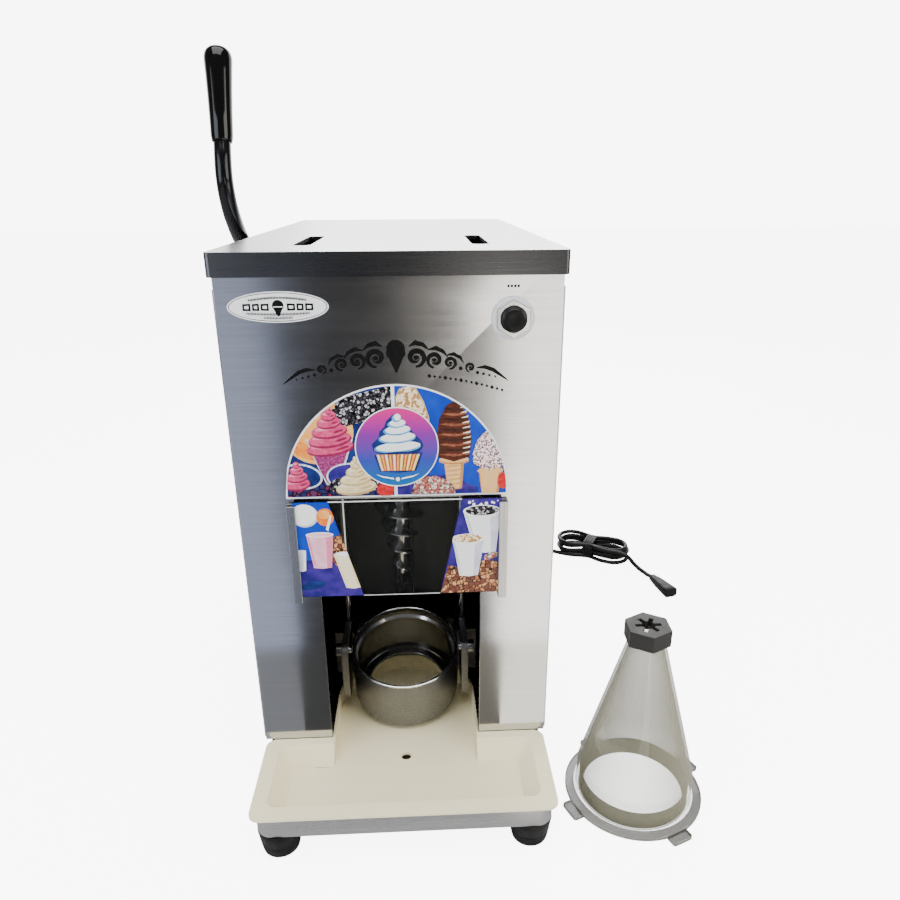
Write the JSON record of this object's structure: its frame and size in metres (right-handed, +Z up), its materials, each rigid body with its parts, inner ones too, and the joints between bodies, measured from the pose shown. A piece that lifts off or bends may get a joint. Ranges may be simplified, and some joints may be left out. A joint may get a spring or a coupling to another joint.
{
  "type": "ice cream maker",
  "caption": "Counter-top machine that blends ice cream with fruit: a powered auger in an open bay, a lever that lifts the cup ring to it, a drip tray and a loose serving cone.",
  "frame": {"origin": "middle of the footprint of the machine and its serving cone, without the mains cord, on the counter", "axes": "+Z up, +X to the right seen from the front, the front faces -Y"},
  "size_m": [0.6674, 0.855, 0.8139],
  "materials": {
    "stainless": "brushed",
    "dark_steel": "satin",
    "polished_steel": "polished",
    "cast_aluminium": "satin",
    "galvanised": "satin",
    "black_paint": "satin",
    "black_rubber": "matte",
    "black_plastic": "gloss",
    "cream_plastic": "satin",
    "smoke_plastic": "gloss",
    "guard_acrylic": "gloss",
    "white_label": "satin"
  },
  "bodies": {
    "cabinet": {"front_panel": "stainless", "left_side_panel": "stainless", "right_side_panel": "stainless", "rear_panel": "stainless", "base_pan": "stainless", "left_rail": "stainless", "right_rail": "stainless", "bay_left_wall": "dark_steel", "bay_right_wall": "dark_steel", "bay_back_wall": "dark_steel", "bay_ceiling": "dark_steel", "switch_nut": "polished_steel", "left_guide_rod": "polished_steel", "right_guide_rod": "polished_steel", "spindle_housing": "cast_aluminium", "shaft_bush": "cast_aluminium", "left_frame_side": "galvanised", "right_frame_side": "galvanised", "top_deck": "galvanised", "base_plate": "galvanised", "drive_bracket": "galvanised", "motor": "black_paint", "front_left_foot": "black_rubber", "front_right_foot": "black_rubber", "rear_left_foot": "black_rubber", "rear_right_foot": "black_rubber", "drive_belt": "black_rubber", "lift_belt": "black_rubber", "cord_gland": "black_rubber", "cord_lead": "black_rubber", "cord_hank": "black_rubber", "cord_tail": "black_rubber", "switch_body": "black_plastic", "cord_plug": "black_plastic", "drip_tray": "cream_plastic", "switch_plate": "white_label"},
    "lid_cover": {"lid": "stainless"},
    "guard": {"splash_guard": "guard_acrylic"},
    "button": {"start_button": "black_rubber"},
    "lever": {"lever_grip": "black_plastic", "lever_rod": "black_paint", "lever_hub": "black_paint", "lever_shaft": "polished_steel", "sector_gear": "cast_aluminium"},
    "lift_drive": {"lift_shaft": "polished_steel", "lift_pulley": "cast_aluminium"},
    "idler": {"idler_pulley": "cast_aluminium"},
    "carriage": {"left_carriage_arm": "cast_aluminium", "right_carriage_arm": "cast_aluminium", "carriage_crossbar": "cast_aluminium", "lift_arm": "cast_aluminium"},
    "holder": {"cup_ring": "polished_steel", "left_pivot_pin": "polished_steel", "right_pivot_pin": "polished_steel"},
    "auger_spindle": {"auger": "cast_aluminium", "driven_pulley": "cast_aluminium"},
    "motor_spindle": {"drive_pulley": "cast_aluminium"},
    "hopper": {"hopper_cone": "smoke_plastic", "cone_seal": "black_rubber"},
    "cap": {"nozzle_cap": "dark_steel"}
  },
  "joints": [
    {"name": "lever_turn", "type": "hinge", "parent": "cabinet", "child": "lever", "pos_m": [-0.26445, 0.06275, 0.5315], "axis": [1, 0, 0], "range_deg": [0, 85]},
    {"name": "lift_shaft_turn", "type": "hinge", "parent": "cabinet", "child": "lift_drive", "pos_m": [-0.07795, 0.06275, 0.4035], "axis": [1, 0, 0], "range_deg": [-256, 0]},
    {"name": "idler_turn", "type": "hinge", "parent": "cabinet", "child": "idler", "pos_m": [-0.07795, 0.03375, 0.102], "axis": [1, 0, 0], "range_deg": [-503, 0]},
    {"name": "carriage_slide", "type": "slide", "parent": "cabinet", "child": "carriage", "axis": [0, 0, 1], "range_m": [0, 0.264]},
    {"name": "ring_tilt", "type": "hinge", "parent": "carriage", "child": "holder", "pos_m": [-0.07795, -0.19125, 0.1315], "axis": [1, 0, 0], "range_deg": [-15, 0]},
    {"name": "guard_slide", "type": "slide", "parent": "cabinet", "child": "guard", "axis": [0, 0, 1], "range_m": [0, 0.1]},
    {"name": "button_press", "type": "slide", "parent": "cabinet", "child": "button", "axis": [0, 1, 0], "range_m": [0, 0.0035], "stiffness_N_per_m": 400, "springref_m": -0.003},
    {"name": "lid_lift", "type": "slide", "parent": "cabinet", "child": "lid_cover", "axis": [0, 0, 1], "range_m": [0, 0.15]},
    {"name": "auger_turn", "type": "hinge", "parent": "cabinet", "child": "auger_spindle", "pos_m": [-0.07795, -0.19125, 0.4], "axis": [0, 0, 1], "continuous": true},
    {"name": "motor_turn", "type": "hinge", "parent": "cabinet", "child": "motor_spindle", "pos_m": [-0.07795, 0.21275, 0.56], "axis": [0, 0, 1], "continuous": true},
    {"name": "hopper_lift", "type": "slide", "parent": "cabinet", "child": "hopper", "axis": [0, 0, 1], "range_m": [0, 0.25]},
    {"name": "cap_turn", "type": "hinge", "parent": "hopper", "child": "cap", "pos_m": [0.18965, -0.30255, 0.215], "axis": [0, 0, 1], "range_deg": [0, 90]}
  ],
  "couplings": [
    {"joint": "lift_shaft_turn", "follows": "lever_turn", "ratio": -3},
    {"joint": "idler_turn", "follows": "lever_turn", "ratio": -5.9},
    {"joint": "carriage_slide", "follows": "lever_turn", "m_per_rad": 0.177},
    {"joint": "motor_turn", "follows": "auger_turn", "ratio": 2.5}
  ]
}
